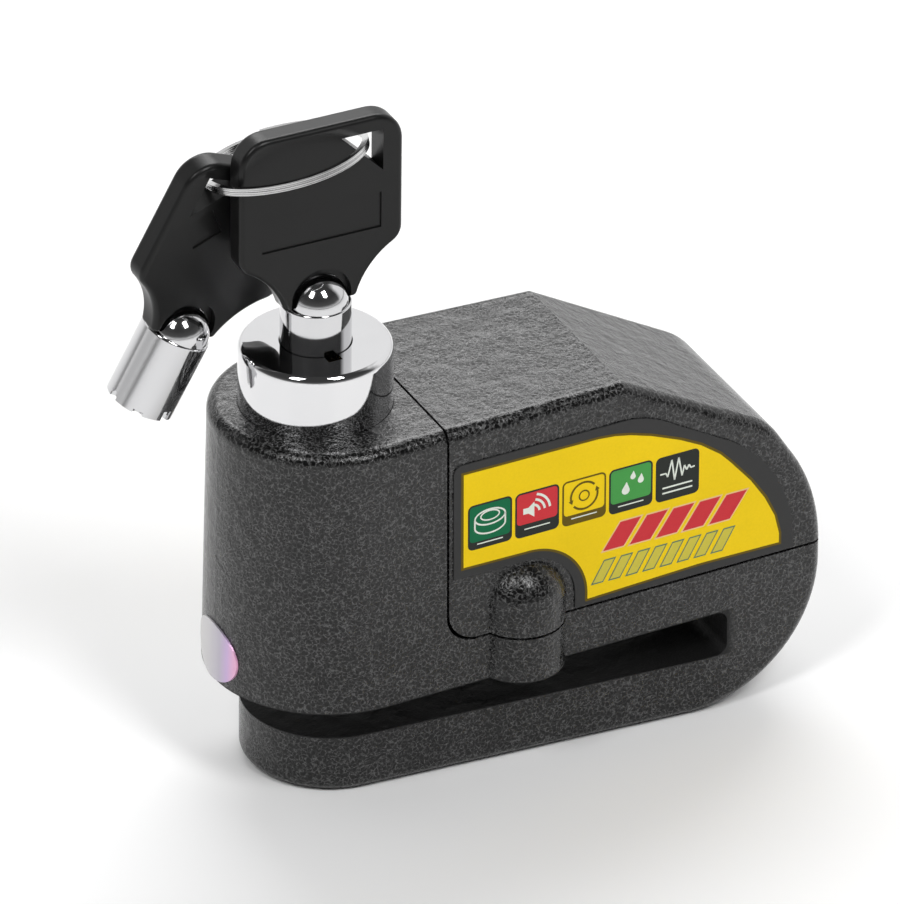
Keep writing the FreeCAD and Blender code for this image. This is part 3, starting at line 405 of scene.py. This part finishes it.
FINISH = {
    PAINT: ("main_body", "alarm_cover"),
    SHELL: ("plunger_shell",),
    NICKEL: ("key_shank", "spare_key_shank"),
    wire_nickel(): ("split_ring",),
    HEAD: ("key_head", "spare_key_head"),
    BRASS: ("key_plug", "lock_housing", "driver_block", "key_pins", "driver_pins", "lock_spindle"),
    HARD: ("locking_pin", "pin_bush", "pin_socket", "bayonet_cam", "carrier_pins", "pin_carrier",
           "driver_block_pin"),
    OXIDE: ("cover_screws", "plunger_stop_screw", "cam_screw"),
    SPRING: ("return_spring", "driver_springs", "battery_springs", "battery_contact_plate",
             "battery_spring_plate"),
    CAN: ("battery_cells", "shock_sensor"),
    DIE: ("alarm_case", "battery_holder", "arming_switch", "arming_switch_button"),
    CHIP: ("siren", "control_chip"),
    rubber(): ("cover_gasket", "plunger_seal"),
    board_laminate(): ("circuit_board",),
    winding(): ("siren_transformer",),
    badge_film(): ("front_badge",),
    print_ink("label_border", grey(0.036), 0.2): ("side_label_near", "side_label_far"),
}
for material, names in FINISH.items():
    for name in names:
        NODES[name].data.materials.clear()
        NODES[name].data.materials.append(material)


# ---------------------------------------------------------------- artwork on the side labels

INKS = {
    "yellow": print_ink("ink_yellow", (0.93, 0.645, 0.006)),
    "edge": print_ink("ink_olive", (0.135, 0.090, 0.006)),
    "black": print_ink("ink_black", (0.026, 0.030, 0.026)),
    "deep": print_ink("ink_deep_green", (0.006, 0.150, 0.060)),
    "green": print_ink("ink_green", (0.070, 0.340, 0.075)),
    "red": print_ink("ink_red", (0.640, 0.040, 0.050)),
    "pale": print_ink("ink_pale", (0.80, 0.84, 0.76)),
    "halo": print_ink("ink_halo", (0.86, 0.55, 0.28)),
    "teal": print_ink("ink_teal", (0.13, 0.22, 0.13)),
    "moss": print_ink("ink_moss", (0.64, 0.55, 0.07)),
}
INK_ORDER = list(INKS)
MARGIN, FIELD, RIM, GROUND, PICTURE = range(5)  # layers of print, from the lowest up
FIRST_LIFT, NEXT_LIFT = 0.012, 0.010  # millimetres above the label, and above the layer below

BOSS, NOTCH_RADIUS = (27.0, 27.5), 10.3  # the field curves round the screw boss
SQUARE_WIDE, SQUARE_HIGH, SQUARE_RIM = 7.55, 7.75, 0.3
FIRST_SQUARE, SQUARE_STEP = (20.4, 44.45), (8.08, -0.17)
STRIPES_MIDDLE = 52.4


def arc(cx, cy, radius, start, end, steps, squeeze=1.0):
    """Points of an arc in degrees, counter-clockwise if end is larger than start."""
    angles = [math.radians(start + (end - start) * k / steps) for k in range(steps + 1)]
    return [(cx + radius * math.cos(a), cy + squeeze * radius * math.sin(a)) for a in angles]


def rounded(cx, cy, wide, high, radius):
    """A rectangle with rounded corners, centred on cx, cy."""
    x, y = wide / 2 - radius, high / 2 - radius
    points = []
    for sx, sy, start in ((1, 1, 0), (-1, 1, 90), (-1, -1, 180), (1, -1, 270)):
        points += arc(cx + sx * x, cy + sy * y, radius, start, start + 90, 6)
    return points


def stroke(points, wide):
    """A line of even width through points, as quads."""
    quads = []
    for (ax, ay), (bx, by) in zip(points, points[1:]):
        length = math.hypot(bx - ax, by - ay)
        nx, ny = -(by - ay) / length * wide / 2, (bx - ax) / length * wide / 2
        quads.append([(ax + nx, ay + ny), (ax - nx, ay - ny), (bx - nx, by - ny), (bx + nx, by + ny)])
    return quads


class Artwork:
    """Layers of flat shapes, each with an ink.

    The far label's field is the near one's mirror image, and its pictures are turned back to read
    the right way round.
    """

    def __init__(self, far):
        self.shapes = []
        self.far = far
        self.middle = None

    def turn_about(self, middle):
        """Shapes that follow are turned over about this X on the far label."""
        self.middle = middle if self.far else None

    def lay(self, layer, ink, points):
        if self.middle is not None:
            points = [(2 * self.middle - x, z) for x, z in points]
        self.shapes.append((layer, ink, points))

    def lines(self, layer, ink, points, wide):
        for quad in stroke(points, wide):
            self.lay(layer, ink, quad)


def field(grow):
    """Outline of the yellow field, grown outwards by some millimetres."""
    notch = arc(*BOSS, NOTCH_RADIUS - grow, 92, -5, 24)
    return ([(15.9 - grow, 54.0 + grow), (15.9 - grow, 37.95 - grow)] + notch
            + [(37.35 - grow, 26.5 - grow), (56.9, 27.2 - grow), (70.75 + grow, 27.0 - grow),
               (70.75 + grow, 28.6), (69.9 + grow, 32.0), (68.1 + grow, 35.6 + grow * 0.5),
               (65.6 + grow * 0.8, 39.3 + grow * 0.6), (62.0 + grow * 0.7, 43.5 + grow * 0.7),
               (60.2 + grow * 0.6, 45.4 + grow * 0.8), (56.8 + grow * 0.5, 47.9 + grow * 0.9),
               (53.2 + grow * 0.5, 49.8 + grow * 0.9), (48.1 + grow * 0.4, 51.9 + grow * 0.9),
               (44.6 + grow * 0.2, 53.0 + grow), (41.8, 53.6 + grow), (39.0, 53.85 + grow)])


def picture_square(art, x, y, ground, band):
    """A dark square, its coloured ground above a dark band with a line; gives the ground's middle."""
    middle = y + band / 2
    art.lay(RIM, "edge" if ground == "yellow" else "black", rounded(x, y, SQUARE_WIDE, SQUARE_HIGH, 0.9))
    art.lay(GROUND, ground, rounded(x, middle, SQUARE_WIDE - 2 * SQUARE_RIM,
                                    SQUARE_HIGH - 2 * SQUARE_RIM - band, 0.6))
    if band:
        line = middle - 3.5
        art.lines(PICTURE, "pale", [(x - 2.2, line), (x + 2.2, line)], 0.20)
    return middle


def draw_button_cell(art, x, y):
    """A flat cell seen from above, with a smaller ring on its cap."""
    for side in (-2.6, 2.6):
        art.lines(PICTURE, "pale", [(x + side, y + 0.75), (x + side, y - 0.75)], 0.28)
    for rise, wide, start, weight in ((-0.75, 2.6, 180, 0.28), (0.75, 2.6, 0, 0.28), (1.0, 1.6, 0, 0.24)):
        art.lines(PICTURE, "pale", arc(x, y + rise, wide, start, 360, 24, 0.5), weight)


def draw_loudspeaker(art, x, y):
    """A horn with three sound waves."""
    for radius in (1.3, 2.2, 3.1):
        art.lines(PICTURE, "pale", arc(x - 0.9, y - 0.9, radius, 5, 75, 12), 0.40)
    art.lay(PICTURE, "pale", [(x - 2.4, y - 0.9), (x - 1.5, y - 0.9), (x - 0.5, y - 1.7),
                              (x - 0.5, y + 0.9), (x - 1.5, y + 0.1), (x - 2.4, y + 0.1)])


def draw_turning_pin(art, x, y):
    """Two arrows that chase each other round a small ring."""
    for start in (40, 220):
        art.lines(PICTURE, "edge", arc(x, y, 2.3, start, start + 150, 20), 0.36)
        tip = math.radians(start + 156)
        tx, ty = x + 2.3 * math.cos(tip), y + 2.3 * math.sin(tip)
        art.lay(PICTURE, "edge", [(tx + 0.5 * math.cos(tip + turn), ty + 0.5 * math.sin(tip + turn))
                                  for turn in (math.pi / 2, math.pi * 7 / 6, -math.pi / 6)])
    art.lines(PICTURE, "edge", arc(x, y, 0.85, 0, 360, 18), 0.26)


def draw_drops(art, x, y):
    """Three drops of water."""
    for dx, dy, size in ((-0.9, -1.0, 1.10), (0.35, 1.1, 0.75), (1.7, 0.2, 0.85)):
        drop = arc(x + dx, y + dy, size * 0.62, 150, 390, 16)
        art.lay(PICTURE, "pale", drop + [(x + dx + size * 0.15, y + dy + size * 1.35)])


def draw_shock_trace(art, x, y):
    """The trace of a shock over two plain lines."""
    trace = [(-3.0, 0.9), (-2.0, 0.9), (-1.7, 0.2), (-1.0, 3.0), (-0.5, -0.6), (0.2, 3.1), (0.8, -0.2),
             (1.2, 1.5), (1.6, 0.6), (2.0, 1.4), (2.3, 0.8), (3.0, 0.9)]
    art.lines(PICTURE, "pale", [(x + dx, y + dy) for dx, dy in trace], 0.26)
    for row in (-1.6, -2.5):
        art.lines(PICTURE, "pale", [(x - 2.6, y + row), (x + 2.6, y + row)], 0.28)


def stripes(art, start, end, lean, count, share, ink, rim):
    """A row of slanted blocks, each with a rim."""
    step = ((end[0] - start[0]) / count, (end[1] - start[1]) / count)
    wide = step[0] * share
    for k in range(count):
        x, y = start[0] + step[0] * k, start[1] + step[1] * k
        for layer, colour, grow in ((RIM, rim, 0.24), (GROUND, ink, 0.0)):
            tilt = lean[0] / lean[1] * grow
            art.lay(layer, colour, [
                (x - grow - tilt, y - grow), (x + wide + grow - tilt, y - grow),
                (x + wide + lean[0] + grow + tilt, y + lean[1] + grow),
                (x + lean[0] - grow + tilt, y + lean[1] + grow)])


PICTURES = (  # ground, height of the dark band, drawing
    ("deep", 1.0, draw_button_cell), ("red", 1.9, draw_loudspeaker), ("yellow", 1.4, draw_turning_pin),
    ("green", 1.4, draw_drops), ("black", 0, draw_shock_trace),
)


def draw_label(far):
    """The yellow field with its row of pictures and two rows of stripes."""
    art = Artwork(far)
    art.lay(MARGIN, "edge", field(0.42))
    art.lay(FIELD, "yellow", field(0.0))
    spots = [(FIRST_SQUARE[0] + SQUARE_STEP[0] * k, FIRST_SQUARE[1] + SQUARE_STEP[1] * k)
             for k in range(len(PICTURES))]
    if far:
        spots.reverse()
    for (x, y), (ground, band, draw) in zip(spots, PICTURES):
        art.turn_about(x)
        draw(art, x, picture_square(art, x, y, ground, band))
    art.turn_about(STRIPES_MIDDLE)
    stripes(art, (39.9, 34.1), (63.0, 33.5), (3.0, 4.3), 5, 0.78, "red", "halo")
    stripes(art, (38.2, 28.9), (62.0, 28.5), (2.0, 3.4), 8, 0.56, "moss", "teal")
    return art


def label_plane(node):
    """A point on the outer face of a label plate, and that face's normal."""
    outward = 1 if "far" in node else -1
    faces = [face for face in NODES[node].data.polygons if face.normal.y * outward > 0.9]
    face = max(faces, key=lambda item: item.area)
    return face.center.copy(), face.normal.copy()


def place_artwork(art, node, name):
    """Lay the shapes on a label plate, each layer a little above the one below."""
    point, normal = label_plane(node)
    mesh = bpy.data.meshes.new(name)
    shape = bmesh.new()
    for layer, ink, points in art.shapes:
        lift = (FIRST_LIFT + NEXT_LIFT * layer) * MM
        corners = []
        for x, z in points:
            px, pz = x * MM, z * MM
            py = point.y - (normal.x * (px - point.x) + normal.z * (pz - point.z)) / normal.y
            corners.append(shape.verts.new(Vector((px, py, pz)) + normal * lift))
        made = shape.faces.new(corners)
        made.material_index = INK_ORDER.index(ink)
        made.normal_update()
        if made.normal.dot(normal) < 0:
            made.normal_flip()
    bmesh.ops.triangulate(shape, faces=shape.faces[:])
    shape.to_mesh(mesh)
    shape.free()
    for ink in INK_ORDER:
        mesh.materials.append(INKS[ink])
    item = put(name, mesh)
    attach(item, "lock_body")


place_artwork(draw_label(far=False), "side_label_near", "label_art_near")
place_artwork(draw_label(far=True), "side_label_far", "label_art_far")


# ---------------------------------------------------------------- the spring that the plunger presses

def coil_mesh(name, start, radius, rise, wire, turns, steps=40, sides=12):
    """A round wire wound upwards from the middle of its first turn."""
    shape = bmesh.new()
    up = Vector((0, 0, 1))
    round_wire = [math.tau * n / sides for n in range(sides)]
    loops = []
    for k in range(turns * steps + 1):
        angle = math.tau * k / steps
        out = Vector((math.cos(angle), math.sin(angle), 0))
        core = start + up * rise * k / (turns * steps) + out * radius
        loops.append([shape.verts.new(core + wire * (math.cos(a) * out + math.sin(a) * up))
                      for a in round_wire])
    for one, two in zip(loops, loops[1:]):
        for n in range(sides):
            shape.faces.new((one[n], one[n - 1], two[n - 1], two[n])).smooth = True
    shape.faces.new(loops[0])
    shape.faces.new(loops[-1][::-1])
    bmesh.ops.recalc_face_normals(shape, faces=shape.faces[:])
    mesh = bpy.data.meshes.new(name)
    shape.to_mesh(mesh)
    shape.free()
    return mesh


def make_return_spring():
    """The return spring again, as a round-wire coil that takes the CAD part's place."""
    low, high = (Vector(corner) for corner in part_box("return_spring"))
    wire, turns = 0.5 * MM, 6
    middle, length = (low + high) / 2, high.z - low.z
    start = Vector((middle.x, middle.y, low.z + wire))
    radius, rise = (high.x - low.x) / 2 - wire, length - 2 * wire
    mesh = coil_mesh("return_spring_coil", start, radius, rise, wire, turns)
    mesh.materials.append(SPRING)
    item = put("return_spring_coil", mesh)
    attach(item, "lock_body")
    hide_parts("return_spring")
    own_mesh(item)


make_return_spring()


# ---------------------------------------------------------------- floor, light and camera

AZIMUTH, ELEVATION, ROLL = (math.radians(v) for v in (26.864, 30.941, 0.665))
DISTANCE, LENS, SENSOR = 1.6667, 437.7, 36
AIM = Vector((0.030, 0.0, 0.040))
AIM_RIGHT, AIM_UP = -0.00649, 0.00402  # the camera's axis passes this far beside the aim
FLOOR_REACH, FLOOR_DROP = 12.0, 0.2 * MM

SOFTBOXES = (  # name, turn and rise from the camera's side in degrees, distance, width, height, watts
    ("left_window", -38, 52, 1.5, 0.34, 0.60, 9.5),
    ("right_window", 34, 50, 1.5, 0.34, 0.60, 7.0),
    ("back_light", 180, 46, 1.6, 1.3, 0.55, 15.0),
)


def floor_material():
    """Matt pale paint, very slightly uneven."""
    s = Shade("studio_floor", specular=0.2)
    tone = s.noise(3)
    s.set("base", s.mix(tone, grey(0.90), grey(0.93)))
    s.set("rough", s.spread(tone, 0.75, 0.9))
    return s.material


def make_floor():
    mesh = bpy.data.meshes.new("studio_floor")
    corners = [(x * FLOOR_REACH, y * FLOOR_REACH, 0) for x, y in ((-1, -1), (1, -1), (1, 1), (-1, 1))]
    mesh.from_pydata(corners, [], [(0, 1, 2, 3)])
    mesh.materials.append(floor_material())
    item = put("studio_floor", mesh)
    item.location.z = -FLOOR_DROP


def make_softbox(name, turn, rise, reach, wide, high, watts):
    """A rectangular light that faces the aim."""
    turn, rise = AZIMUTH + math.radians(turn), math.radians(rise)
    outward = Vector((-math.sin(turn) * math.cos(rise), -math.cos(turn) * math.cos(rise), math.sin(rise)))
    data = bpy.data.lights.new(name, "AREA")
    data.shape = "RECTANGLE"
    data.size, data.size_y = wide, high
    data.energy = watts
    item = put(name, data)
    item.location = AIM + reach * outward
    item.rotation_mode = "QUATERNION"
    item.rotation_quaternion = (-outward).to_track_quat("-Z", "Y")


def make_world():
    """A pale wall behind the object that fades upwards, and a dark room in front of it."""
    world = bpy.data.worlds.new("studio")
    world.use_nodes = True
    w = Wiring(world.node_tree)
    place = w.add("ShaderNodeTexCoord").outputs["Generated"]
    height = w.part(place, "Z")
    front = w.ramp(height, [(at, grey(value)) for at, value in (
        (0.0, 0.85), (0.06, 0.45), (0.16, 0.10), (0.50, 0.05), (1.0, 0.05))])
    behind = w.ramp(height, [(at, grey(value)) for at, value in (
        (0.0, 0.95), (0.62, 1.0), (0.74, 0.55), (0.86, 0.10), (1.0, 0.05))])
    away = w.dot(place, (math.sin(AZIMUTH), math.cos(AZIMUTH), 0.0))
    both = w.mix(w.window(away, -0.05, 0.25), front, behind)
    w.link(both, w.tree.nodes["Background"].inputs["Color"])
    bpy.context.scene.world = world


def make_camera():
    """A long lens from the near side, above the nose."""
    sa, ca, se, ce = math.sin(AZIMUTH), math.cos(AZIMUTH), math.sin(ELEVATION), math.cos(ELEVATION)
    level_right, level_up = Vector((ca, -sa, 0)), Vector((sa * se, ca * se, ce))
    back = Vector((-sa * ce, -ca * ce, se))
    right = math.cos(ROLL) * level_right + math.sin(ROLL) * level_up
    up = -math.sin(ROLL) * level_right + math.cos(ROLL) * level_up
    data = bpy.data.cameras.new("camera")
    data.lens, data.sensor_width = LENS, SENSOR
    data.clip_start, data.clip_end = 0.1, 60
    item = put("camera", data)
    item.location = AIM + right * AIM_RIGHT + up * AIM_UP + back * DISTANCE
    item.rotation_mode = "QUATERNION"
    item.rotation_quaternion = Matrix((right, up, back)).transposed().to_quaternion()
    bpy.context.scene.camera = item


make_floor()
make_world()
for softbox in SOFTBOXES:
    make_softbox(*softbox)
make_camera()
bpy.context.scene.view_settings.view_transform = "Standard"
